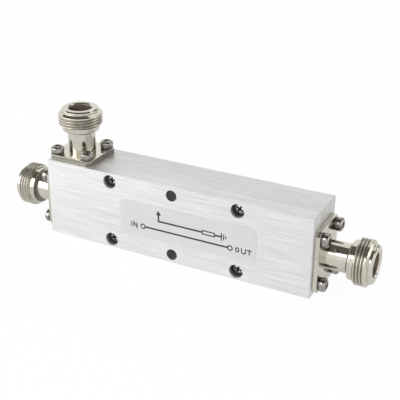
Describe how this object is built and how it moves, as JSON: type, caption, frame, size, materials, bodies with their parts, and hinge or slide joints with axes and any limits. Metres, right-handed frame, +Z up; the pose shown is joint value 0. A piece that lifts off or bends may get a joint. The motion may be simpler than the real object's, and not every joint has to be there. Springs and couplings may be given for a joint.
{
  "type": "directional coupler",
  "caption": "Brushed aluminium block directional coupler with threaded coaxial flange sockets on both ends and on top, a cover plate screwed to its front and through holes for fixing.",
  "frame": {"origin": "middle of the block's bottom face, under the middle of the whole part", "axes": "+X along the block from the input end to the output end, -Y towards the front cover and its label, +Z up along the coupled port's axis"},
  "size_m": [0.1386, 0.0201, 0.0474],
  "materials": {
    "body_aluminium": "fine brushed along the length",
    "nickel_plate": "bright nickel plate over turned brass",
    "screw_steel": "bright zinc plated",
    "spring_steel": "dark tempered spring steel",
    "label_film": "satin printed film",
    "white_insulator": "machined, waxy",
    "gold_plate": "gold plate",
    "silver_plate": "silver plate over brass bar",
    "copper": "bare copper",
    "ceramic": "fired ceramic"
  },
  "bodies": {
    "root": {"housing": "body_aluminium", "cover": "body_aluminium", "cover_screws": "screw_steel", "label": "label_film", "input_shell": "nickel_plate", "input_insulator": "white_insulator", "input_contact": "gold_plate", "input_screws": "screw_steel", "input_lock_washers": "spring_steel", "output_shell": "nickel_plate", "output_insulator": "white_insulator", "output_contact": "gold_plate", "output_screws": "screw_steel", "output_lock_washers": "spring_steel", "coupled_shell": "nickel_plate", "coupled_insulator": "white_insulator", "coupled_contact": "gold_plate", "coupled_screws": "screw_steel", "coupled_lock_washers": "spring_steel", "main_line": "silver_plate", "coupled_line": "silver_plate", "left_line_support": "white_insulator", "right_line_support": "white_insulator", "termination_base": "copper", "termination_chip": "ceramic", "termination_lead": "silver_plate", "termination_screws": "screw_steel"}
  },
  "joints": []
}
